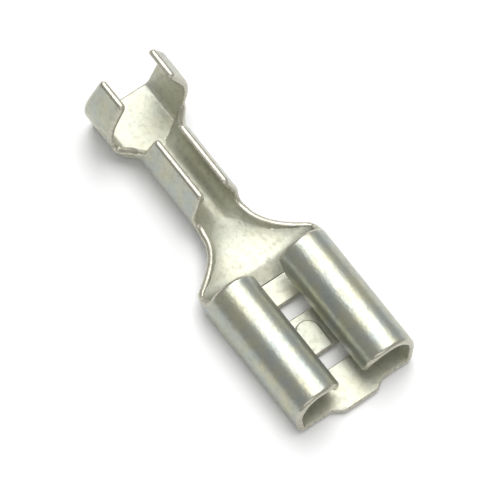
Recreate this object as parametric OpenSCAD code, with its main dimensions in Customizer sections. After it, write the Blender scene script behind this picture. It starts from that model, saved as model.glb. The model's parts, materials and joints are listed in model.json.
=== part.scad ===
// Bare female quick disconnect terminal, stamped and folded from one sheet of tin-plated brass.
// X runs along the terminal with the mouth at +X, Z is up, and the underside rests on Z = 0.
// The origin is under the middle of the overall length and width.

/* [Sheet] */
// Thickness of the sheet
sheet_t = 0.3; // [0.25:0.01:0.4]

/* [Tab that the receptacle takes] */
// Width of the tab
tab_w = 4.8; // [4.4:0.1:5.2]
// Thickness of the tab
tab_t = 0.5; // [0.4:0.05:0.8]
// Play between the tab and each side wall at the floor
tab_side_gap = 0.25; // [0.1:0.05:0.4]
// Play between the tab and the free edges of the rolls
tab_top_gap = 0.05; // [0.02:0.01:0.1]

/* [Receptacle] */
// Length of the two side rolls
roll_l = 6.5; // [5.5:0.1:7.5]
// Outside radius of a roll
roll_r = 1.22; // [1.05:0.01:1.3]
// Height over the rolls
roll_top = 2.25; // [2.1:0.05:2.6]
// Outward lean of the side walls under the rolls, degrees
wall_lean = 8; // [2:1:14]
// Inside radius of the sharp fold between floor and side wall
corner_r = 0.08; // [0.05:0.01:0.2]
// How far the roll tops stand back from the mouth
mouth_rake = 0.22; // [0.05:0.01:0.5]
// How much further the free edges of the rolls stand back there
mouth_bevel = 0.24; // [0.1:0.01:0.5]
// Length of the slope that takes off the rear corner of each free edge
rear_bevel_l = 0.6; // [0.2:0.02:1]
// Height of that slope
rear_bevel_h = 0.55; // [0.2:0.05:0.9]
// Length of the guide tongue in front of the mouth
tongue_l = 0.33; // [0.2:0.01:0.6]
// Width of the tongue at its root
tongue_root_w = 2.6; // [2:0.1:3.4]
// Width of the tongue at its front
tongue_tip_w = 1.75; // [1.2:0.05:2]

/* [Spring bridge in the floor] */
// Floor between the mouth and the front slot
mouth_land = 1.63; // [1.3:0.01:1.9]
// Length of each cross slot along the terminal
slot_l = 0.74; // [0.5:0.01:0.9]
// Width of the cross slots
slot_w = 3.9; // [3:0.1:4.6]
// Length of the bridge between the slots
bridge_l = 1.93; // [1.7:0.01:2.1]
// Width of the locking ramp on the bridge
lock_w = 1.1; // [0.8:0.05:1.2]
// Length of the locking ramp
lock_l = 1.54; // [1.2:0.01:1.65]
// Height of the locking ramp's step above the floor
lock_rise = 0.22; // [0.12:0.01:0.26]

/* [Tab stop behind the rolls] */
// Rise of the floor from the receptacle to the dish
stop_rise = 0.25; // [0.1:0.01:0.4]
// How far the foot of the ramp between the two levels reaches in between the rolls
stop_reach = 0.25; // [0.1:0.05:0.4]

/* [Dished throat] */
// Side wall from the throat's corner to the rear end of the rolls
collar_l = 0.7; // [0.5:0.05:1]
// Height to which the side wall sweeps up where it meets the rolls
collar_h = 1.4; // [1.2:0.05:1.6]
// Length of the throat from the wire barrel to its front corner
throat_l = 2.6; // [2:0.1:3.4]
// Height of the turned-up flange along the throat
flange_h = 0.95; // [0.8:0.05:1.1]
// Outward lean that the flange takes on in the middle of the throat, degrees
flange_lean = 25; // [10:1:35]
// Power of the curve by which the throat widens to the receptacle
flare = 2.4; // [1.8:0.1:3]
// Half the length over which the throat's front corner is rounded
corner_blend = 0.2; // [0.1:0.05:0.3]
// Inside radius of the fold along the dish, at the throat's front corner
dish_r = 0.35; // [0.2:0.05:0.5]

/* [Wire barrel] */
// Length of the wire barrel at its foot
wire_l = 3.7; // [3:0.1:4.5]
// Outside width of the wire barrel
wire_w = 2.4; // [2.2:0.05:2.8]
// Height of the wire wings
wire_h = 2.6; // [2.3:0.05:3.2]
// Inward lean of the wire wings, degrees
wire_lean = 22; // [10:1:25]
// How far the front ends of the wire wings slope back
wire_front_slope = 0.28; // [0.1:0.02:0.6]
// How far the rear ends of the wire wings slope forward
wire_rear_slope = 0.2; // [0.1:0.02:0.6]

/* [Neck] */
// Length of the neck between the two barrels
neck_l = 1; // [0.7:0.05:1.5]
// Height of the neck's side walls at the insulation barrel
neck_h = 0.9; // [0.7:0.05:1.1]

/* [Insulation barrel] */
// Length of the insulation barrel at its foot
grip_l = 2.05; // [1.8:0.05:2.6]
// Width of the flat floor of the insulation barrel
grip_floor_w = 2.3; // [2:0.05:2.7]
// Height of the insulation wings
grip_h = 3.84; // [3.4:0.05:4.4]
// Inside radius of the fold at the foot of the wings
grip_fold_r = 0.25; // [0.15:0.05:0.4]
// Outward lean of the lower part of the wings, degrees
grip_lean = 17; // [8:1:22]
// Straight lower part of the wings
grip_wall = 1.1; // [0.8:0.05:1.3]
// Inside radius of the bend that turns the wings in
grip_bend_r = 1.7; // [1:0.1:2]
// Angle by which the wings turn in, degrees
grip_turn = 45; // [30:1:50]
// How far the front ends of the wings slope back
grip_front_slope = 0.38; // [0.2:0.02:0.5]
// How far the rear ends of the wings slope forward
grip_rear_slope = 0.25; // [0.1:0.02:0.4]
// Radius of the corners at the wing tips, on both barrels
tip_r = 0.18; // [0.1:0.02:0.25]

/* [Hidden] */
$fn = 96;

// Places along the terminal, from the tail to the tip of the tongue
total_l = grip_l + neck_l + wire_l + throat_l + collar_l + roll_l + tongue_l;
x_tail = -total_l / 2;
x_grip = x_tail + grip_l;
x_neck = x_grip + neck_l;
x_wire = x_neck + wire_l;
x_corner = x_wire + throat_l;
x_collar = x_corner + corner_blend;
x_roll = x_corner + collar_l;
x_foot = x_roll + stop_reach;
x_mouth = x_roll + roll_l;
x_tip = x_mouth + tongue_l;

// Folds of the receptacle, out from the flat floor
corner_out = corner_r + sheet_t;
corner_a = 90 - wall_lean;
floor_half = tab_w / 2 + tab_side_gap - corner_r * tan(corner_a / 2);
roll_z = roll_top - roll_r;
edge_z = sheet_t + tab_t + tab_top_gap;
// Past the upright, the outer edge is the lowest point of the free end, and before it the inner edge is
edge_r = roll_z > edge_z ? roll_r : roll_r - sheet_t;
roll_a = 270 + asin((roll_z - edge_z) / edge_r) - corner_a;
wall_run = (roll_z - roll_r * cos(corner_a) - corner_out * (1 - cos(corner_a))) / sin(corner_a);
roll_y = floor_half + (corner_out - roll_r) * sin(corner_a) + wall_run * cos(corner_a);
dish_out = dish_r + sheet_t;

// Folds of the barrels
wire_out = wire_w / 2;
wire_a = 90 + wire_lean;
wire_run = (wire_h - wire_out * (1 - cos(wire_a))) / sin(wire_a);
// The neck's walls rise to the wire wings and meet them this angle short of their straight part
wing_gap_a = 8;
wing_foot_z = wire_out * (1 - cos(wire_a - wing_gap_a));
grip_half = grip_floor_w / 2;
grip_out = grip_fold_r + sheet_t;
grip_a = 90 - grip_lean;
grip_end_a = grip_a + grip_turn;
grip_bend_out = grip_bend_r + sheet_t;
grip_bend_z = grip_out * (1 - cos(grip_a)) + grip_wall * sin(grip_a);
grip_tip_z = grip_bend_z + grip_bend_out * (cos(grip_a) - cos(grip_end_a));
grip_run = (grip_h - grip_tip_z) / sin(grip_end_a);

// Cross slots and locking ramp, back from the mouth
x_lock = x_mouth - mouth_land - slot_l;
x_slots = [x_lock, x_lock - bridge_l - slot_l];
// The recess under the ramp is this much smaller than the ramp all round
lock_shear = 0.03;

// The blended stretches run this far into their neighbours, and lie this deep in the sheet there
lap = 0.15;
lap_inset = 0.01;
// Steps of a blended stretch along the terminal, and across floor, fold and wall on each side
throat_steps = 26;
neck_steps = 8;
floor_steps = 5;
fold_steps = 6;
edge_steps = 3;
// Share of a side, at least, that the floor points cover, and at most, that the fold points reach
floor_share = 0.3;
fold_share = 0.8;
// Power of the curve by which the neck's walls rise to the wire wings
neck_sweep = 1.2;
// Radius where the side wall starts to sweep up
sweep_r = 0.3;
// Room by which cutting shapes reach past what they cut
over = 1;
arc_steps = 6;

function rad(a) = a * PI / 180;
function mix(a, b, s) = a + (b - a) * s;
function unit(s) = min(max(s, 0), 1);
function smooth(s) = let (u = unit(s)) u * u * (3 - 2 * u);

// Point [y, z, slope angle] at a distance along the outer face: flat floor, fold, then straight wall
function outer_face(d, half, out, a) =
    d < half ? [d, 0, 0] :
    let (turn = (d - half) / rad(1) / out)
    turn < a ? [half + out * sin(turn), out * (1 - cos(turn)), turn] :
    let (run = d - half - out * rad(a))
    [half + out * sin(a) + run * cos(a), out * (1 - cos(a)) + run * sin(a), a];

// Distance along the outer face at which it reaches a height
function reach(z, half, out, a) =
    let (fold_z = out * (1 - cos(a)))
    z < fold_z ? half + out * rad(acos(1 - z / out)) : half + out * rad(a) + (z - fold_z) / sin(a);

// Distances of the section's points along one side: floor, fold and edge
function spread(top, half, out, a) =
    let (d1 = max(half, floor_share * top))
    let (d2 = max(min(half + out * rad(a), mix(d1, top, fold_share)), mix(d1, top, 1 - fold_share)))
    concat([for (i = [0:floor_steps]) d1 * i / floor_steps],
           [for (i = [1:fold_steps]) mix(d1, d2, i / fold_steps)],
           [for (i = [1:edge_steps]) mix(d2, top, i / edge_steps)]);

// One closed section of the sheet at x. slant is the plan slope of the side, which thickens the wall
// in this plane, rise lifts the section, and the insets thin the side and the floor.
function section(x, half, out, a, top_z, slant, rise, side_inset, floor_inset) =
    let (top = reach(top_z - rise, half, out, a) - side_inset)
    let (side = [for (d = spread(top, half, out, a)) let (p = outer_face(d, half, out, a))
                 let (t = sheet_t * sqrt(1 + pow(slant * sin(p[2]), 2)))
                 let (inset = p[2] > 0 ? side_inset : floor_inset, n = [-sin(p[2]), cos(p[2])])
                 [[p[0] + n[0] * inset, p[1] + n[1] * inset + rise],
                  [p[0] + n[0] * (t - inset), p[1] + n[1] * (t - inset) + rise]]])
    let (last = len(side) - 1)
    concat([for (i = [last:-1:1]) [x, -side[i][0][0], side[i][0][1]]],
           [for (i = [0:last]) [x, side[i][0][0], side[i][0][1]]],
           [for (i = [last:-1:0]) [x, side[i][1][0], side[i][1][1]]],
           [for (i = [1:last]) [x, -side[i][1][0], side[i][1][1]]]);

// Two triangles of a four-sided patch
function patch(a, b, c, d) = [[a, b, c], [a, c, d]];

// Solid through a row of sections with equal numbers of points, in order of rising x
module loft(sections) {
    n = len(sections[0]);
    end = (len(sections) - 1) * n;
    polyhedron(
        points = [for (s = sections) each s],
        faces = concat(
            [for (i = [0:n / 2 - 2]) each patch(i, i + 1, n - 2 - i, n - 1 - i)],
            [for (i = [0:n / 2 - 2]) each patch(end + n - 1 - i, end + n - 2 - i, end + i + 1, end + i)],
            [for (k = [0:n:end - 1], i = [0:n - 1]) let (j = (i + 1) % n)
             each patch(k + i, k + n + i, k + n + j, k + j)]));
}

// How far the flange's top edge stands out from the flat floor
function flange_out(out, a, rise) = outer_face(reach(flange_h - rise, 0, out, a), 0, out, a)[0];

// Half width of the throat along the flange's top edge: a power curve with its front corner rounded
throat_wide = floor_half + flange_out(corner_out, corner_a, 0);
function throat_curve(x) =
    mix(flange_out(wire_out, wire_a, 0), throat_wide, pow(unit((x - x_wire) / throat_l), flare));
function throat_width(x) =
    abs(x - x_corner) > corner_blend ? throat_curve(x) :
    let (s = (x_corner + corner_blend - x) / (2 * corner_blend))
    throat_wide - s * s * (throat_wide - throat_curve(x_corner - corner_blend));

function throat_section(x) =
    let (s = unit((x - x_wire) / throat_l), collar = smooth((x - x_corner) / (x_foot - x_corner)))
    let (rise = stop_rise * smooth(s) * unit((x_foot - x) / (x_foot - x_collar)))
    let (out = mix(mix(wire_out, dish_out, s), corner_out, collar))
    let (a = mix(wire_a, corner_a, s) - flange_lean * sin(180 * s))
    let (half = max(throat_width(x) - flange_out(out, a, rise), 0))
    let (slant = (throat_width(x + lap_inset) - throat_width(x - lap_inset)) / (2 * lap_inset))
    section(x, half, out, a, flange_h, slant, rise,
            x <= x_wire || x >= x_collar ? lap_inset : 0, x <= x_wire || x >= x_foot ? lap_inset : 0);

module throat() {
    inner = [for (i = [1:throat_steps - 1]) mix(x_wire, x_collar, i / throat_steps)];
    places = concat([x_wire - lap, x_wire], inner, [x_collar, x_foot, x_foot + lap]);
    loft([for (x = places) throat_section(x)]);
}

function neck_section(x) =
    let (s = unit((x - x_grip) / neck_l))
    let (out = mix(grip_out, wire_out, s), a = mix(grip_a, wire_a, s))
    let (inset = x <= x_grip || x >= x_neck ? lap_inset : 0)
    let (slant = 4 * s * (1 - s) * (wire_out - grip_half - grip_out) / neck_l)
    let (top_z = mix(neck_h, wing_foot_z, pow(s, neck_sweep)))
    section(x, grip_half * (1 - s), out, a, top_z, slant, 0, inset, inset);

module neck() {
    inner = [for (i = [1:neck_steps - 1]) mix(x_grip, x_neck, i / neck_steps)];
    places = concat([x_grip - lap, x_grip], inner, [x_neck, x_neck + lap]);
    loft([for (x = places) neck_section(x)]);
}

// Sheet folded up from a line along X: each fold is [straight run, inside radius, angle]
module fold_chain(folds, l, i = 0) {
    run = folds[i][0];
    r = folds[i][1];
    a = folds[i][2];
    if (run > 0)
        cube([run, sheet_t, l]);
    if (a > 0)
        translate([run, sheet_t + r, 0]) {
            rotate_extrude(angle = a, start = 270)
                translate([r, 0])
                    square([sheet_t, l]);
            if (i + 1 < len(folds))
                rotate(a)
                    translate([0, -sheet_t - r, 0])
                        fold_chain(folds, l, i + 1);
        }
}

// The same folds on both sides of a floor of the given half width, from x0 to x1
module both_sides(folds, half, x0, x1) {
    for (side = [0, 1])
        mirror([0, side, 0])
            translate([x0, half, 0])
                rotate([90, 0, 90])
                    fold_chain(folds, x1 - x0);
}

// Outline with rounded corners: each point is [x, y, corner radius]
function rounded(outline) = [
    for (i = [0:len(outline) - 1])
        let (count = len(outline), p = outline[i])
        let (q = outline[(i + count - 1) % count], n = outline[(i + 1) % count])
        let (a = [q[0] - p[0], q[1] - p[1]] / norm([q[0] - p[0], q[1] - p[1]]))
        let (b = [n[0] - p[0], n[1] - p[1]] / norm([n[0] - p[0], n[1] - p[1]]))
        let (open = acos(a * b), mid = (a + b) / norm(a + b))
        let (centre = [p[0], p[1]] + mid * p[2] / sin(open / 2))
        let (from = atan2(-mid[1], -mid[0]), turn = (180 - open) / 2)
        let (way = a[0] * b[1] - a[1] * b[0] > 0 ? -1 : 1)
        each (p[2] == 0 ? [[p[0], p[1]]] :
              [for (k = [0:arc_steps]) let (c = from + way * turn * (2 * k / arc_steps - 1))
               centre + p[2] * [cos(c), sin(c)]])];

// Everything inside an outline seen from the side, in X and Z
module side_view(outline) {
    rotate([90, 0, 0])
        linear_extrude(2 * tab_w, center = true)
            polygon(rounded(outline));
}

module receptacle_floor() {
    difference() {
        union() {
            linear_extrude(sheet_t)
                polygon([[x_foot, -floor_half], [x_mouth, -floor_half], [x_mouth, -tongue_root_w / 2],
                         [x_tip, -tongue_tip_w / 2], [x_tip, tongue_tip_w / 2],
                         [x_mouth, tongue_root_w / 2], [x_mouth, floor_half], [x_foot, floor_half]]);
            locking_ramp(lock_w / 2, sheet_t, sheet_t / 2);
        }
        locking_ramp(lock_w / 2 - lock_shear, 0, -over);
        for (x = x_slots)
            translate([x, -slot_w / 2, -over])
                cube([slot_l, slot_w, sheet_t + lock_rise + 2 * over]);
    }
}

// Wedge with a round rear end that rises towards the tail from the bridge's front edge
module locking_ramp(r, z, base_z) {
    x_rear = x_lock - lock_l;
    intersection() {
        union() {
            translate([x_rear + lock_w / 2, 0, -over])
                cylinder(r = r, h = sheet_t + lock_rise + 2 * over);
            translate([x_rear + lock_w / 2, -r, -over])
                cube([lock_l - lock_w / 2, 2 * r, sheet_t + lock_rise + 2 * over]);
        }
        side_view([[x_lock, base_z, 0], [x_lock, z, 0], [x_rear, z + lock_rise, 0], [x_rear, base_z, 0]]);
    }
}

// Side walls and rolls. The walls stand on the throat's flange as far as the foot of the tab stop, and
// sweep up to the rear end of the rolls.
module rolls() {
    difference() {
        both_sides([[0, corner_r, corner_a], [wall_run, roll_r - sheet_t, roll_a]],
                   floor_half, x_collar, x_mouth);
        side_view([[x_collar - over, -over, 0], [x_foot, -over, 0], [x_foot, flange_h - lap, 0],
                   [x_collar - over, flange_h - lap, 0]]);
        side_view([[x_collar - over, flange_h, 0], [x_collar, flange_h, sweep_r], [x_roll, collar_h, 0],
                   [x_roll, roll_top + over, 0], [x_collar - over, roll_top + over, 0]]);
        side_view([[x_mouth, 0, 0], [x_mouth + over, 0, 0], [x_mouth + over, roll_top + over, 0],
                   [x_mouth - mouth_rake, roll_top + over, 0], [x_mouth - mouth_rake, roll_top, 0]]);
        free_edge_cuts();
    }
}

// What is cut off the ends of the curls, between the tops of the rolls and above the tab
module free_edge_cuts() {
    tab_mid_z = sheet_t + tab_t / 2;
    x_rear = x_roll + rear_bevel_l;
    x_front = x_mouth - mouth_rake - mouth_bevel;
    intersection() {
        translate([x_collar - over, -roll_y, tab_mid_z])
            cube([x_tip - x_collar + 2 * over, 2 * roll_y, roll_top]);
        union() {
            side_view([[x_collar - over, tab_mid_z, 0], [x_rear, tab_mid_z, 0], [x_rear, edge_z, 0],
                       [x_roll, edge_z + rear_bevel_h, 0], [x_roll, roll_top + over, 0],
                       [x_collar - over, roll_top + over, 0]]);
            side_view([[x_front, tab_mid_z, 0], [x_tip + over, tab_mid_z, 0], [x_tip + over, roll_top, 0],
                       [x_mouth - mouth_rake, roll_top, 0], [x_front, edge_z, 0]]);
        }
    }
}

module receptacle() {
    receptacle_floor();
    rolls();
}

module wire_barrel() {
    intersection() {
        both_sides([[0, wire_out - sheet_t, wire_a], [wire_run, 0, 0]], 0, x_neck, x_wire);
        side_view([[x_neck, -over, 0], [x_wire, -over, 0], [x_wire, flange_h, 0],
                   [x_wire - wire_front_slope, wire_h, tip_r], [x_neck + wire_rear_slope, wire_h, tip_r],
                   [x_neck, wing_foot_z, 0]]);
    }
}

module insulation_barrel() {
    intersection() {
        both_sides([[grip_half, grip_fold_r, grip_a], [grip_wall, grip_bend_r, grip_turn], [grip_run, 0, 0]],
                   0, x_tail, x_grip);
        side_view([[x_tail, -over, 0], [x_grip, -over, 0], [x_grip, neck_h, 0],
                   [x_grip - grip_front_slope, grip_h, tip_r], [x_tail + grip_rear_slope, grip_h, tip_r],
                   [x_tail, sheet_t, 0]]);
    }
}

module terminal() {
    color([0.78, 0.78, 0.72])
        union() {
            receptacle();
            throat();
            wire_barrel();
            neck();
            insulation_barrel();
        }
}

terminal();
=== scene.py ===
import json
import math

import bpy
import numpy as np
from mathutils import Matrix, Vector, kdtree
from mathutils.geometry import delaunay_2d_cdt


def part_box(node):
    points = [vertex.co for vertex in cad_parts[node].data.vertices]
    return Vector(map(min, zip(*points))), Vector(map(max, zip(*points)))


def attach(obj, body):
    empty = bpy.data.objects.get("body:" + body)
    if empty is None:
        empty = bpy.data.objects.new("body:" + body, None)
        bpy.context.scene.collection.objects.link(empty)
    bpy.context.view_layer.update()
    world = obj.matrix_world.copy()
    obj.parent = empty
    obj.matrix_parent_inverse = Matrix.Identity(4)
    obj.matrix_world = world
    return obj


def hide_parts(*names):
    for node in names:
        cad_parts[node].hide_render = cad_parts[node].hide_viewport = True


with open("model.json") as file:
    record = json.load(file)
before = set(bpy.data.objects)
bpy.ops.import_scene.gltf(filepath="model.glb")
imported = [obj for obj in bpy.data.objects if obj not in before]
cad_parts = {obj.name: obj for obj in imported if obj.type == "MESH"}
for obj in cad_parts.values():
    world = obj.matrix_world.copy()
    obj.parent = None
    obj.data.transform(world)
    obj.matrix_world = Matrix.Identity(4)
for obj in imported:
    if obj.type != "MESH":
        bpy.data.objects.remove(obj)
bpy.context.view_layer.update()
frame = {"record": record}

# The dressed terminal is one sheet, cut flat and then folded. Its outline is laid out in the flat sheet, in
# millimetres: x along the terminal, and d across it, measured along the outer face from the middle line.

low_corner, high_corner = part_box("terminal")
mounts = {mount["name"]: mount for mount in frame["record"]["mounts"]}
MM = 0.001

# Sheet, and the rounding of its sheared edges on the outer and the inner face
SHEET_T = 0.3
EDGE_OUT = 0.18
EDGE_IN = 0.09
EDGE_STEPS = 4

# Places along the terminal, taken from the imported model
X_TAIL = low_corner.x / MM
X_TIP = high_corner.x / MM
X_MOUTH = mounts["tab_receptacle"]["pos_m"][0] / MM
ROLL_L = mounts["tab_receptacle"]["dims"]["length_mm"]
WIRE_L = mounts["wire_crimp"]["dims"]["length_mm"]
WIRE_MID = mounts["wire_crimp"]["pos_m"][0] / MM
GRIP_MID = mounts["insulation_crimp"]["pos_m"][0] / MM
X_GRIP = 2 * GRIP_MID - X_TAIL
X_NECK = WIRE_MID - WIRE_L / 2
X_WIRE = WIRE_MID + WIRE_L / 2
X_ROLL = X_MOUTH - ROLL_L

# Receptacle: floor, corner fold, leaning wall and roll
INNER_HALF = 2.65
CORNER_IN = 0.08
CORNER_OUT = CORNER_IN + SHEET_T
WALL_LEAN = math.radians(8)
CORNER_A = math.pi / 2 - WALL_LEAN
FLOOR_HALF = INNER_HALF - CORNER_IN * math.tan(CORNER_A / 2)
ROLL_R = 1.22
ROLL_TOP = 2.25
ROLL_Z = ROLL_TOP - ROLL_R
EDGE_Z = 0.85  # height of a roll's free edge
ROLL_A = 1.5 * math.pi + math.asin((ROLL_Z - EDGE_Z) / ROLL_R) - CORNER_A
WALL_Z = ROLL_Z - ROLL_R * math.cos(CORNER_A)
WALL_RUN = (WALL_Z - CORNER_OUT * (1 - math.cos(CORNER_A))) / math.sin(CORNER_A)
MOUTH_RAKE = 0.22
MOUTH_BEVEL = 0.24
REAR_BEVEL_L = 0.6
REAR_BEVEL_H = 0.55
TONGUE_ROOT = 1.3
TONGUE_TIP = 0.875

# Spring bridge in the floor, between two cross slots, with the locking ramp on it
FRONT_FLOOR_L = 1.63
SLOT_L = 0.74
SLOT_HALF = 1.95
SLOT_ROUND = 0.12
BRIDGE_L = 1.93
X_LOCK = X_MOUTH - FRONT_FLOOR_L - SLOT_L
X_SLOTS = (X_LOCK, X_LOCK - BRIDGE_L - SLOT_L)
LOCK_R = 0.55
LOCK_L = 1.54
LOCK_RISE = 0.22
LOCK_SHEAR = 0.03  # how far the recess underneath stays inside the ramp's outline
LOCK_SOFT = 0.05
X_LOCK_ROUND = X_LOCK - LOCK_L + LOCK_R

# Tab stop and throat
COLLAR_L = 0.7
COLLAR_H = 1.4
CORNER_BLEND = 0.2
X_CORNER = X_ROLL - COLLAR_L
X_COLLAR = X_CORNER + CORNER_BLEND
THROAT_L = X_CORNER - X_WIRE
STOP_FOOT = 0.25
X_FOOT = X_ROLL + STOP_FOOT
STOP_RISE = 0.25
STOP_SOFT = 0.05
DISH_OUT = 0.6
DISH_A = math.radians(20)
DISH_SHARE = 0.2  # share of the throat's length in which the dish takes shape
FOLD_SHARE = 0.3  # share of the throat's length in which its fold tightens
FLOOR_ROUNDS = 5  # rounds of the search for the floor's width
FLANGE_H = 0.95
FLANGE_LEAN = math.radians(25)
FLARE = 2.4

# Wire barrel, neck and insulation barrel. FRONT and REAR say how far a wing's upper corners stand back.
WIRE_OUT = mounts["wire_crimp"]["dims"]["r_mm"] + SHEET_T
WIRE_A = math.radians(112)
WIRE_H = 2.6
WIRE_FRONT = 0.28
WIRE_REAR = 0.13
NECK_H = 0.9
NECK_SWEEP = 1.2
WING_GAP_A = math.radians(8)  # the neck meets the wings this far short of the end of their round fold
WING_FOOT_Z = WIRE_OUT * (1 - math.cos(WIRE_A - WING_GAP_A))
GRIP_HALF = 1.15
GRIP_OUT = 0.55
GRIP_A = math.radians(73)
GRIP_WALL = 1.1
GRIP_BEND_OUT = 2.0
GRIP_TURN = math.radians(45)
GRIP_H = high_corner.z / MM
GRIP_FRONT = 0.31
GRIP_REAR = 0.17
NO_BEND = 100.0  # a straight run that is longer than any wall

# Corners of the flat outline: how far from each one its rounding starts and ends
ROUND = {
    "tail": 0.4,
    "grip_rear": 0.2,
    "grip_front": 0.2,
    "neck_rear": 0.32,
    "neck_front": 0.3,
    "wire_rear": 0.2,
    "wire_front": 0.22,
    "flange_rear": 0.3,
    "flange_front": 0.25,
    "roll_rear": 0.1,
    "roll_bevel": 0.2,
    "roll_end": 0.2,
    "mouth_top": 0.2,
    "mouth_foot": 0.14,
    "tongue": 0.16,
    "tip": 0,
}

# Points of the outline before it is evenly spaced, and of the search for a height along the folds
LINE_STEP = 0.01
NECK_POINTS = 60
FLANGE_POINTS = 160
MOUTH_POINTS = 700
ROUND_POINTS = 12
LONGEST_D = 9
SEARCH_POINTS = 9001

# Mesh: its spacing, and the room that it leaves beside edges and beside the rows of points round the ramp
STOP_STEPS = 10
STEP_X = (X_FOOT - X_COLLAR) / STOP_STEPS
STEP_D = 0.07
STEP_EDGE = 0.065
EDGE_INSET = 0.12
EDGE_CLEAR = 0.6
EDGE_ROOM = EDGE_OUT - EDGE_INSET + EDGE_CLEAR * STEP_EDGE
LOCK_ROWS = 9
LOCK_ROUND_POINTS = 44
LOCK_SIDE_POINTS = 18
LOCK_ROOM = 0.03
INSIDE_ONLY = 1  # delaunay_2d_cdt gives the triangles inside the loops
MERGE = 1e-6

# Step of the differences that give directions, and a wider one in a zone at the rear end of the neck
DELTA = 0.004
EVEN_DELTA = 0.15
EVEN_BEFORE = 0.4
EVEN_AFTER = 0.55
EVEN_SOFT_X = 0.2
EVEN_D = 3.0
EVEN_SOFT_D = 0.4


def mix(start, end, share):
    """A value between two others."""
    return start + (end - start) * share


def smooth(share):
    """0 to 1 with a slow start and end."""
    u = np.clip(share, 0, 1)
    return u * u * (3 - 2 * u)


def soft_ramp(share, soft):
    """0 to 1 in a straight line with rounded ends."""
    return (np.sqrt(share * share + soft * soft) - np.sqrt((share - 1) ** 2 + soft * soft) + 1) / 2


def flange_out(out, start_a, end_a, height):
    """How far a flange of a height stands out from the floor, with a fold from one angle to another."""
    fold_z = out * (np.cos(start_a) - np.cos(end_a))
    in_fold = out * (np.sqrt(np.clip(1 - (np.cos(start_a) - height / out) ** 2, 0, 1)) - np.sin(start_a))
    past_fold = out * (np.sin(end_a) - np.sin(start_a)) + (height - fold_z) / np.tan(end_a)
    return np.where(height < fold_z, in_fold, past_fold)


THROAT_WIDE = FLOOR_HALF + float(flange_out(CORNER_OUT, 0, CORNER_A, FLANGE_H))
THROAT_NARROW = float(flange_out(WIRE_OUT, 0, WIRE_A, FLANGE_H))


def throat_width(x):
    """Half width along the flange's top edge: a power curve with its front corner rounded."""
    def curve(place):
        return mix(THROAT_NARROW, THROAT_WIDE, np.clip((place - X_WIRE) / THROAT_L, 0, 1) ** FLARE)
    s = (X_COLLAR - x) / (2 * CORNER_BLEND)
    corner = THROAT_WIDE - s * s * (THROAT_WIDE - curve(X_CORNER - CORNER_BLEND))
    return np.where(np.abs(x - X_CORNER) > CORNER_BLEND, curve(x), corner)


def throat_floor(x, out, dish, fold_a, rise):
    """Half width of the throat's floor that puts the flange's top edge in its place."""
    half = np.zeros_like(x)
    for _ in range(FLOOR_ROUNDS):
        height = FLANGE_H - rise - half * np.tan(dish / 2)
        half = np.maximum(throat_width(x) - flange_out(out, dish, fold_a, height), 0)
    return half


def folds(x):
    """The folds at x, as the values that outer_line takes.

    They are the floor's height, half width and dish angle, the corner fold's radius and end angle, the
    straight run above it, and the radius and angle of the bend after that.
    """
    neck = smooth((x - X_GRIP) / (X_NECK - X_GRIP))
    throat = np.clip((x - X_WIRE) / THROAT_L, 0, 1)
    collar = smooth((x - X_CORNER) / (X_FOOT - X_CORNER))
    front = x > X_WIRE
    rise = STOP_RISE * smooth(throat) * soft_ramp((X_FOOT - x) / (X_FOOT - X_COLLAR), STOP_SOFT)
    dish = DISH_A * smooth(throat / DISH_SHARE) * (1 - collar)
    throat_out = mix(mix(WIRE_OUT, DISH_OUT, smooth(throat / FOLD_SHARE)), CORNER_OUT, collar)
    throat_a = mix(WIRE_A, CORNER_A, throat) - FLANGE_LEAN * np.sin(math.pi * throat)
    out = np.where(front, throat_out, mix(GRIP_OUT, WIRE_OUT, neck))
    fold_a = np.where(front, throat_a, mix(GRIP_A, WIRE_A, neck))
    half = np.where(front, throat_floor(x, out, dish, fold_a, rise), GRIP_HALF * (1 - neck))
    fold_z = rise + half * np.tan(dish / 2) + out * (np.cos(dish) - np.cos(fold_a))
    roll_run = np.maximum(WALL_Z - fold_z, 0) / np.sin(fold_a)
    run = np.where(x < X_GRIP, GRIP_WALL, np.where(x > X_CORNER, roll_run, NO_BEND))
    bend_r = np.where(front, ROLL_R, GRIP_BEND_OUT)
    bend_a = np.where(front, ROLL_A, GRIP_TURN)
    return rise, half, dish, out, fold_a, run, bend_r, bend_a


def outer_line(d, rise, half, dish, out, fold_a, run, bend_r, bend_a):
    """Side and height of the outer face at a distance d along the folds."""
    left = np.abs(d)
    floor = np.minimum(left, half / np.sinc(dish / math.pi))
    left = left - floor
    turn = np.minimum(left / out, fold_a - dish)
    left = left - turn * out
    straight = np.minimum(left, run)
    left = left - straight
    bend = np.minimum(left / bend_r, bend_a)
    end = left - bend * bend_r
    curve = np.sin(dish) / np.maximum(half, DELTA)
    y = floor * np.sinc(curve * floor / math.pi)
    y = y + out * (np.sin(dish + turn) - np.sin(dish)) + straight * np.cos(fold_a)
    y = y + bend_r * (np.sin(fold_a + bend) - np.sin(fold_a)) + end * np.cos(fold_a + bend_a)
    z = rise + curve * floor ** 2 / 2 * np.sinc(curve * floor / 2 / math.pi) ** 2
    z = z + out * (np.cos(dish) - np.cos(dish + turn)) + straight * np.sin(fold_a)
    z = z + bend_r * (np.cos(fold_a) - np.cos(fold_a + bend)) + end * np.sin(fold_a + bend_a)
    return np.sign(d) * y, z


def outer_face(x, d):
    """Points of the outer face, without the locking ramp."""
    y, z = outer_line(d, *folds(x))
    return np.stack([x, y, z], axis=-1)


def crossed(first, second):
    """Unit directions square to two others."""
    n = np.cross(first, second)
    return n / np.linalg.norm(n, axis=-1, keepdims=True)


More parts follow.
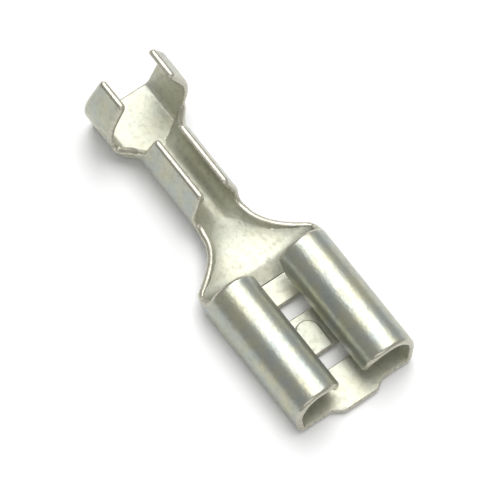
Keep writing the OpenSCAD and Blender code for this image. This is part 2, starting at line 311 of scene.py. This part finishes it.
def even_step(x, d):
    """Step of the differences along x, wide where the neck turns in more tightly than the sheet can."""
    along = smooth((x - X_GRIP + EVEN_BEFORE) / EVEN_SOFT_X) * smooth((X_GRIP + EVEN_AFTER - x) / EVEN_SOFT_X)
    across = smooth((EVEN_D - np.abs(d)) / EVEN_SOFT_D)
    return mix(DELTA, EVEN_DELTA, along * across)


def inward(x, d):
    """Unit direction from the outer to the inner face."""
    step = even_step(x, d)
    return crossed(outer_face(x + step, d) - outer_face(x - step, d),
                   outer_face(x, d + DELTA) - outer_face(x, d - DELTA))


def lock_lift(x, d, inset):
    """Height of the locking ramp: a wedge with a round rear end and a soft shear line around it."""
    outside = np.where(x < X_LOCK_ROUND, np.hypot(x - X_LOCK_ROUND, d), np.abs(d)) - LOCK_R + inset
    ramp = LOCK_RISE * np.clip((X_LOCK - x) / LOCK_L, 0, 1)
    return ramp * (1 - smooth(outside / (2 * LOCK_SOFT) + 0.5))


def sheet_face(x, d, inner):
    """Points of the outer (inner = 0) or inner (inner = 1) face of the folded sheet."""
    points = outer_face(x, d) + inward(x, d) * SHEET_T * inner
    points[..., 2] += lock_lift(x, d, LOCK_SHEAR * (1 - inner))
    return points


def sheet_normal(x, d, inner):
    """Unit normals of either face, from the outer towards the inner side."""
    return crossed(sheet_face(x + DELTA, d, inner) - sheet_face(x - DELTA, d, inner),
                   sheet_face(x, d + DELTA, inner) - sheet_face(x, d - DELTA, inner))


def distance_at(z, x):
    """Distance along the folds at which the outer face first reaches a height at x."""
    grid = np.linspace(0, LONGEST_D, SEARCH_POINTS)
    heights = outer_line(grid, *[np.full_like(grid, v) for v in folds(np.float64(x))])[1]
    return float(grid[np.argmax(heights >= z)])


def line(start, end):
    """Closely spaced points of a straight stretch of the outline."""
    count = max(int(math.dist(start, end) / LINE_STEP), 2)
    return np.linspace(start, end, count)


def neck_line():
    """Upper edge of the neck in the flat sheet."""
    s = np.linspace(0, 1, NECK_POINTS)
    heights = mix(NECK_H, WING_FOOT_Z, s ** NECK_SWEEP)
    return np.array([(x, distance_at(z, x)) for x, z in zip(mix(X_GRIP, X_NECK, s), heights)])


def flange_line():
    """Upper edge of the throat's flange in the flat sheet."""
    return np.array([(x, distance_at(FLANGE_H, x)) for x in np.linspace(X_WIRE, X_COLLAR, FLANGE_POINTS)])


def mouth_line(free_d):
    """Front edge of wall and roll in the flat sheet: raked, and sloped off towards the roll's free edge."""
    d = np.linspace(free_d, TONGUE_ROOT, MOUTH_POINTS)
    z = outer_line(d, *folds(np.full_like(d, X_MOUTH)))[1]
    bevel = MOUTH_RAKE + MOUTH_BEVEL * (ROLL_TOP - z) / (ROLL_TOP - EDGE_Z)
    back = np.where(d > d[np.argmax(z)], bevel, MOUTH_RAKE * z / ROLL_TOP)
    return np.stack([X_MOUTH - back, d], axis=1)


def half_outline():
    """One side of the flat outline, from the tail to the tip, as stretches and the rounding after each."""
    grip_end_a = GRIP_A + GRIP_TURN
    grip_top = distance_at(GRIP_H + EDGE_OUT * (math.sin(grip_end_a) - math.cos(grip_end_a) - 1), X_TAIL)
    wire_top = distance_at(WIRE_H, WIRE_MID)
    free_d = FLOOR_HALF + CORNER_OUT * CORNER_A + WALL_RUN + ROLL_R * ROLL_A
    neck = neck_line()
    flange = flange_line()
    mouth = mouth_line(free_d)
    tail = (X_TAIL, distance_at(SHEET_T, X_TAIL))
    grip_rear = (X_TAIL + GRIP_REAR, grip_top)
    grip_front = (X_GRIP - GRIP_FRONT, grip_top)
    wire_rear = (X_NECK + WIRE_REAR, wire_top)
    wire_front = (X_WIRE - WIRE_FRONT, wire_top)
    roll_rear = (X_ROLL, distance_at(COLLAR_H, X_ROLL))
    roll_bevel = (X_ROLL, free_d - REAR_BEVEL_H)
    roll_end = (X_ROLL + REAR_BEVEL_L, free_d)
    tongue = (X_TIP, TONGUE_TIP)
    stretch_to = {
        "tail": line((X_TAIL, 0), tail),
        "grip_rear": line(tail, grip_rear),
        "grip_front": line(grip_rear, grip_front),
        "neck_rear": line(grip_front, neck[0]),
        "neck_front": neck,
        "wire_rear": line(neck[-1], wire_rear),
        "wire_front": line(wire_rear, wire_front),
        "flange_rear": line(wire_front, flange[0]),
        "flange_front": flange,
        "roll_rear": line(flange[-1], roll_rear),
        "roll_bevel": line(roll_rear, roll_bevel),
        "roll_end": line(roll_bevel, roll_end),
        "mouth_top": line(roll_end, mouth[0]),
        "mouth_foot": mouth,
        "tongue": line(mouth[-1], tongue),
        "tip": line(tongue, (X_TIP, 0)),
    }
    return [(points, ROUND[corner]) for corner, points in stretch_to.items()]


def lengths(points):
    """Distance along a row of points, from its start."""
    steps = np.linalg.norm(np.diff(points, axis=0), axis=1)
    return np.concatenate([[0], np.cumsum(steps)])


def resampled(points, step):
    """The same row of points, evenly spaced."""
    along = lengths(points)
    places = np.linspace(0, along[-1], max(int(round(along[-1] / step)), 2) + 1)
    return np.stack([np.interp(places, along, points[:, k]) for k in range(2)], axis=1)


def with_round_corners(stretches):
    """Joins stretches of an outline, each corner as a curve that starts and ends at its rounding's length."""
    joined = []
    cut = 0
    for i, (points, rounding) in enumerate(stretches):
        along = lengths(points)
        kept = points[(along >= cut) & (along <= along[-1] - rounding)]
        joined.append(kept)
        if rounding and i + 1 < len(stretches):
            after = stretches[i + 1][0]
            start = kept[-1]
            end = after[np.searchsorted(lengths(after), rounding)]
            s = np.linspace(0, 1, ROUND_POINTS)[1:-1, None]
            joined.append((1 - s) ** 2 * start + 2 * s * (1 - s) * points[-1] + s * s * end)
        cut = rounding
    return np.concatenate(joined)


def outline_loop():
    """The whole outline of the flat sheet, counter-clockwise."""
    side = resampled(with_round_corners(half_outline()), STEP_EDGE)
    return np.concatenate([side * (1, -1), side[-2:0:-1]])


def slot_loop(x_rear):
    """A cross slot with round corners, clockwise, from the middle of one end."""
    x_front = x_rear + SLOT_L
    middle = (x_rear + SLOT_L / 2, -SLOT_HALF)
    corners = [(x_rear, -SLOT_HALF), (x_rear, SLOT_HALF), (x_front, SLOT_HALF), (x_front, -SLOT_HALF)]
    places = [middle] + corners + [middle]
    roundings = [SLOT_ROUND] * len(corners) + [0]
    stretches = [(line(start, end), rounding) for start, end, rounding in zip(places, places[1:], roundings)]
    return resampled(with_round_corners(stretches), STEP_EDGE)[:-1]


def moved_in(loop, distance):
    """The loop moved into the sheet by a distance."""
    along = np.roll(loop, -1, axis=0) - np.roll(loop, 1, axis=0)
    along /= np.linalg.norm(along, axis=1, keepdims=True)
    return loop + distance * np.stack([-along[:, 1], along[:, 0]], axis=1)


def lock_rows():
    """Rows of points beside the shear line of the locking ramp."""
    turn = np.linspace(math.pi / 2, 1.5 * math.pi, LOCK_ROUND_POINTS)
    sides = np.linspace(X_LOCK_ROUND + LOCK_ROOM, X_LOCK - EDGE_OUT - LOCK_ROOM, LOCK_SIDE_POINTS)
    rows = []
    for off in np.linspace(-LOCK_SHEAR - 2 * LOCK_SOFT, 2 * LOCK_SOFT, LOCK_ROWS):
        r = LOCK_R + off
        rows.append(np.stack([X_LOCK_ROUND + r * np.cos(turn), r * np.sin(turn)], axis=1))
        rows.append(np.stack([sides, np.full_like(sides, r)], axis=1))
        rows.append(np.stack([sides, np.full_like(sides, -r)], axis=1))
    return np.concatenate(rows)


def clear_of(points, others, room):
    """Those points that are further than room from all the others."""
    tree = kdtree.KDTree(len(others))
    for i, p in enumerate(others):
        tree.insert((p[0], p[1], 0), i)
    tree.balance()
    far = [tree.find((p[0], p[1], 0))[2] > room for p in points]
    return points[np.array(far)]


def grid_points(edge, lock):
    """Evenly spaced points of the flat sheet, clear of the slots, the edges and the ramp's rows."""
    first = math.ceil((X_TAIL - X_COLLAR) / STEP_X)
    last = (X_TIP - X_COLLAR) // STEP_X
    xs = X_COLLAR + STEP_X * np.arange(first, last + 1)
    top = edge[:, 1].max() // STEP_D
    ds = STEP_D * np.arange(-top, top + 1)
    grid = np.stack(np.meshgrid(xs, ds, indexing="ij"), axis=-1).reshape(-1, 2)
    for x_slot in X_SLOTS:
        middle = (x_slot + SLOT_L / 2, 0)
        reach = (SLOT_L / 2 + EDGE_OUT, SLOT_HALF + EDGE_OUT)
        grid = grid[(np.abs(grid - middle) > reach).any(axis=1)]
    return clear_of(clear_of(grid, edge, EDGE_ROOM), lock, LOCK_ROOM)


def flat_mesh(loops):
    """Points and triangles of the flat sheet inside its loops, and the numbers of each loop's points."""
    edge = np.concatenate(loops)
    lock = lock_rows()
    points = np.concatenate([edge, lock, grid_points(edge, lock)])
    ends = np.cumsum([len(loop) for loop in loops])
    borders = [np.arange(end - len(loop), end) for loop, end in zip(loops, ends)]
    edges = [(int(a), int(b)) for border in borders for a, b in zip(border, np.roll(border, -1))]
    places = [Vector(p) for p in points]
    _, _, faces, origins, _, _ = delaunay_2d_cdt(places, edges, [], INSIDE_ONLY, MERGE)
    number = np.array([origin[0] for origin in origins])
    triangles = number[np.array(faces)]
    in_slot = np.isin(triangles, np.concatenate(borders[1:])).all(axis=1)
    return points, triangles[~in_slot], borders


def edge_profile():
    """Section of a sheared edge, as steps from the outer to the inner face.

    Each step is how far out it is, how deep in the sheet, and its normal's shares to the side and inward.
    """
    turn = np.linspace(0, math.pi / 2, EDGE_STEPS + 1)
    steps = []
    for a in turn:
        steps.append((EDGE_OUT * (math.sin(a) - 1), EDGE_OUT * (1 - math.cos(a)), math.sin(a), -math.cos(a)))
    for a in reversed(turn):
        depth = SHEET_T - EDGE_IN * (1 - math.cos(a))
        steps.append((EDGE_IN * (math.sin(a) - 1), depth, math.sin(a), math.cos(a)))
    return steps


def edge_rows(loop):
    """Rows of points and normals round a loop, and each row's share of the way to the inner face."""
    x, d = loop[:, 0], loop[:, 1]
    base = sheet_face(x, d, 0)
    up = inward(x, d)
    along = np.roll(base, -1, axis=0) - np.roll(base, 1, axis=0)
    side = crossed(along, up)
    rows = []
    for out, depth, share_side, share_up in edge_profile():
        row = base + side * out + up * depth
        rows.append((row, side * share_side + up * share_up, depth / SHEET_T))
    return rows


def strips(rows):
    """Triangles between neighbouring closed rows of point numbers."""
    triangles = []
    for lower, upper in zip(rows, rows[1:]):
        next_lower = np.roll(lower, -1)
        next_upper = np.roll(upper, -1)
        triangles.append(np.stack([lower, next_lower, next_upper], axis=1))
        triangles.append(np.stack([lower, next_upper, upper], axis=1))
    return triangles


def folded_sheet():
    """The folded sheet: points (mm), normals, triangles, and shares of sheared edge and inner face."""
    loops = [outline_loop()] + [slot_loop(x) for x in X_SLOTS]
    flat, triangles, borders = flat_mesh([moved_in(loop, EDGE_INSET) for loop in loops])
    x, d = flat[:, 0], flat[:, 1]
    count = len(flat)
    points = [sheet_face(x, d, 0), sheet_face(x, d, 1)]
    normals = [-sheet_normal(x, d, 0), sheet_normal(x, d, 1)]
    faces = [triangles[:, ::-1], triangles + count]
    sheared = [np.zeros(2 * count)]
    inside = [np.zeros(count), np.ones(count)]
    first = 2 * count
    for loop, border in zip(loops, borders):
        rows = edge_rows(loop)
        points[0][border] = rows[0][0]
        points[1][border] = rows[-1][0]
        numbers = [border]
        for row, normal, depth_share in rows[1:-1]:
            points.append(row)
            normals.append(normal)
            sheared.append(np.ones(len(loop)))
            inside.append(np.full(len(loop), depth_share))
            numbers.append(np.arange(first, first + len(loop)))
            first += len(loop)
        numbers.append(border + count)
        faces.extend(strips(numbers))
    return tuple(np.concatenate(parts) for parts in (points, normals, faces, sheared, inside))


def sheet_object(name):
    """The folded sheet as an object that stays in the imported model's box."""
    points, normals, faces, sheared, inside = folded_sheet()
    points = np.clip(points * MM, low_corner, high_corner)
    used = np.unique(faces)
    number = np.zeros(len(points), int)
    number[used] = np.arange(len(used))
    mesh = bpy.data.meshes.new(name)
    mesh.from_pydata(points[used].tolist(), [], number[faces].tolist())
    mesh.update()
    mesh.shade_smooth()
    mesh.normals_split_custom_set_from_vertices(normals[used].tolist())
    mesh.attributes.new("sheared", "FLOAT", "POINT").data.foreach_set("value", sheared[used])
    mesh.attributes.new("inside", "FLOAT", "POINT").data.foreach_set("value", inside[used])
    piece = bpy.data.objects.new(name, mesh)
    bpy.context.scene.collection.objects.link(piece)
    return piece


# Tin plating: satin, mottled from cool to warm, with dull specks and fine grain. The inner face is painted
# lighter, as painted fill light in the hollows, and is more matt than the outer one. The sheared edges are
# lighter and burnished.
TIN_COOL = (0.39, 0.42, 0.39, 1)
TIN_WARM = (0.465, 0.46, 0.345, 1)
TIN_DULL = (0.25, 0.25, 0.20, 1)
TIN_EDGE = (0.52, 0.50, 0.41, 1)
# Painted fill light: a lighter colour for the inner face, so that the hollows read lighter
TIN_INNER_PAINTED_FILL = (0.62, 0.62, 0.50, 1)
INNER_PAINTED_FILL_SHARE = 0.6
EDGE_SHARE = 0.8
DULL_SHARE = 0.4
MOTTLE_SIZE = 0.9
MOTTLE_DETAIL = 3
MOTTLE_SPAN = (0.35, 0.65)
SPECK_SIZE = 0.22
SPECK_DETAIL = 4
DULL_SPAN = (0.5, 0.75)
SATIN_SPAN = (0.3, 0.7)
SATIN_ROUGH = (0.28, 0.38)
BURNISHED_ROUGH = 0.1
MATT_ROUGH = 0.06
GRAIN_SIZE = 0.12
GRAIN_DETAIL = 2
GRAIN_DEPTH = 0.008
METAL_OUTER = 0.75
METAL_INNER = 0.46
WHOLE = (0, 1)

# Colour sockets of Blender's Mix node
MIX_A = 6
MIX_B = 7
MIX_RESULT = 2


def noise(tree, place, size, detail):
    """Noise with features of a size in millimetres."""
    texture = tree.nodes.new("ShaderNodeTexNoise")
    texture.inputs["Scale"].default_value = 1 / (size * MM)
    texture.inputs["Detail"].default_value = detail
    tree.links.new(place, texture.inputs["Vector"])
    return texture.outputs["Fac"]


def mesh_value(tree, name):
    """A value that the mesh holds at each of its points."""
    attribute = tree.nodes.new("ShaderNodeAttribute")
    attribute.attribute_name = name
    return attribute.outputs["Fac"]


def spread(tree, value, span, results):
    """A value in a span turned into one between two results."""
    ranged = tree.nodes.new("ShaderNodeMapRange")
    for name, number in zip(("From Min", "From Max", "To Min", "To Max"), span + results):
        ranged.inputs[name].default_value = number
    tree.links.new(value, ranged.inputs["Value"])
    return ranged.outputs["Result"]


def blended(tree, share, first, second):
    """Colour between two colours, each a fixed one or another node's."""
    mixed = tree.nodes.new("ShaderNodeMix")
    mixed.data_type = "RGBA"
    tree.links.new(share, mixed.inputs["Factor"])
    for socket, colour in zip((mixed.inputs[MIX_A], mixed.inputs[MIX_B]), (first, second)):
        if isinstance(colour, tuple):
            socket.default_value = colour
        else:
            tree.links.new(colour, socket)
    return mixed.outputs[MIX_RESULT]


def worked_out(tree, operation, first, second):
    """Result of a Math node on two other nodes' values."""
    node = tree.nodes.new("ShaderNodeMath")
    node.operation = operation
    tree.links.new(first, node.inputs[0])
    tree.links.new(second, node.inputs[1])
    return node.outputs["Value"]


def tin_plate():
    """The plating of the whole sheet."""
    material = bpy.data.materials.new("tin_plate")
    material.use_nodes = True
    tree = material.node_tree
    shader = tree.nodes["Principled BSDF"]
    place = tree.nodes.new("ShaderNodeTexCoord").outputs["Object"]
    mottle = noise(tree, place, MOTTLE_SIZE, MOTTLE_DETAIL)
    speck = noise(tree, place, SPECK_SIZE, SPECK_DETAIL)
    grain = noise(tree, place, GRAIN_SIZE, GRAIN_DETAIL)
    sheared = mesh_value(tree, "sheared")
    inside = mesh_value(tree, "inside")

    colour = blended(tree, spread(tree, mottle, MOTTLE_SPAN, WHOLE), TIN_COOL, TIN_WARM)
    # Painted fill light: the inner face, the inside of the hollows, is painted lighter
    colour = blended(tree, spread(tree, inside, WHOLE, (0, INNER_PAINTED_FILL_SHARE)), colour, TIN_INNER_PAINTED_FILL)
    colour = blended(tree, spread(tree, sheared, WHOLE, (0, EDGE_SHARE)), colour, TIN_EDGE)
    colour = blended(tree, spread(tree, speck, DULL_SPAN, (0, DULL_SHARE)), colour, TIN_DULL)
    tree.links.new(colour, shader.inputs["Base Color"])

    metal = spread(tree, inside, WHOLE, (METAL_OUTER, METAL_INNER))
    tree.links.new(metal, shader.inputs["Metallic"])

    satin = spread(tree, speck, SATIN_SPAN, SATIN_ROUGH)
    burnished = spread(tree, sheared, WHOLE, (0, BURNISHED_ROUGH))
    matt = spread(tree, inside, WHOLE, (0, MATT_ROUGH))
    rough = worked_out(tree, "ADD", worked_out(tree, "SUBTRACT", satin, burnished), matt)
    tree.links.new(rough, shader.inputs["Roughness"])

    bump = tree.nodes.new("ShaderNodeBump")
    bump.inputs["Distance"].default_value = GRAIN_DEPTH * MM
    tree.links.new(grain, bump.inputs["Height"])
    tree.links.new(bump.outputs["Normal"], shader.inputs["Normal"])
    return material


terminal = sheet_object("terminal_sheet")
terminal.data.materials.append(tin_plate())
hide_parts("terminal")
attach(terminal, "root")

# Floor, just below the terminal (metres)
FLOOR_SIZE = 4.0
FLOOR_Z = -0.00002
FLOOR_COLOUR = (0.95, 0.95, 0.95, 1)


def paper():
    """Matt white of the floor."""
    material = bpy.data.materials.new("floor")
    material.use_nodes = True
    shader = material.node_tree.nodes["Principled BSDF"]
    shader.inputs["Base Color"].default_value = FLOOR_COLOUR
    shader.inputs["Roughness"].default_value = 1
    shader.inputs["Specular IOR Level"].default_value = 0
    return material


bpy.ops.mesh.primitive_plane_add(size=FLOOR_SIZE, location=(0, 0, FLOOR_Z))
floor = bpy.context.object
floor.name = "floor"
floor.data.materials.append(paper())

# Camera at the photograph's angle (metres, and millimetres for the lens)
AIM = Vector((0.0006, 0.0, 0.0012))
CAMERA_AT = Vector((0.10904, -0.09956, 0.31642))
CAMERA_RIGHT = Vector((0.5999, 0.7973, 0.0665))
SENSOR_WIDTH = 36
LENS = 605
CLIP_START = 0.01
camera_data = bpy.data.cameras.new("camera")
camera_data.sensor_width = SENSOR_WIDTH
camera_data.lens = LENS
camera_data.clip_start = CLIP_START
camera = bpy.data.objects.new("camera", camera_data)
bpy.context.scene.collection.objects.link(camera)
back = (CAMERA_AT - AIM).normalized()
up = back.cross(CAMERA_RIGHT).normalized()
right = up.cross(back)
camera.matrix_world = Matrix.Translation(CAMERA_AT) @ Matrix((right, up, back)).transposed().to_4x4()
bpy.context.scene.camera = camera

# Light: a soft box overhead and behind, a weak panel in front, and a dim room. The panels' sides are given as
# distances across the picture and away from the camera, in metres.
ACROSS = Vector((0.5999, 0.7973, 0))
AWAY = Vector((-0.7988, 0.6021, 0))
PANEL_HEIGHT = 0.5
BOX_ACROSS = (-0.22, 0.24)
BOX_AWAY = (-0.03, 0.9)
BOX_RADIANCE = 3.7
FILL_ACROSS = (-0.6, 0.4)
FILL_AWAY = (-1.0, -0.4)
FILL_RADIANCE = 1.3
ROOM_SPAN = (-0.2, 0.6)
ROOM_STRENGTH = (0.28, 0.4)
WHITE = (1, 1, 1, 1)


def light_panel(name, across, away, radiance):
    """A level panel of light that faces down, with its edges across and away from the camera."""
    panel_data = bpy.data.lights.new(name, "AREA")
    panel_data.shape = "RECTANGLE"
    panel_data.size = across[1] - across[0]
    panel_data.size_y = away[1] - away[0]
    panel_data.energy = radiance * math.pi * panel_data.size * panel_data.size_y
    panel = bpy.data.objects.new(name, panel_data)
    bpy.context.scene.collection.objects.link(panel)
    centre = ACROSS * sum(across) / 2 + AWAY * sum(away) / 2 + Vector((0, 0, PANEL_HEIGHT))
    axes = Matrix((ACROSS, AWAY, Vector((0, 0, 1)))).transposed().to_4x4()
    panel.matrix_world = Matrix.Translation(centre) @ axes


def room():
    """A dim white room that is brighter on the right of the picture."""
    world = bpy.data.worlds.new("room")
    world.use_nodes = True
    tree = world.node_tree
    sideways = tree.nodes.new("ShaderNodeVectorMath")
    sideways.operation = "DOT_PRODUCT"
    sideways.inputs[1].default_value = ACROSS
    tree.links.new(tree.nodes.new("ShaderNodeTexCoord").outputs["Generated"], sideways.inputs[0])
    strength = spread(tree, sideways.outputs["Value"], ROOM_SPAN, ROOM_STRENGTH)
    background = tree.nodes["Background"]
    background.inputs["Color"].default_value = WHITE
    tree.links.new(strength, background.inputs["Strength"])
    return world


light_panel("soft_box", BOX_ACROSS, BOX_AWAY, BOX_RADIANCE)
light_panel("front_panel", FILL_ACROSS, FILL_AWAY, FILL_RADIANCE)
bpy.context.scene.world = room()
bpy.context.scene.view_settings.view_transform = "Standard"
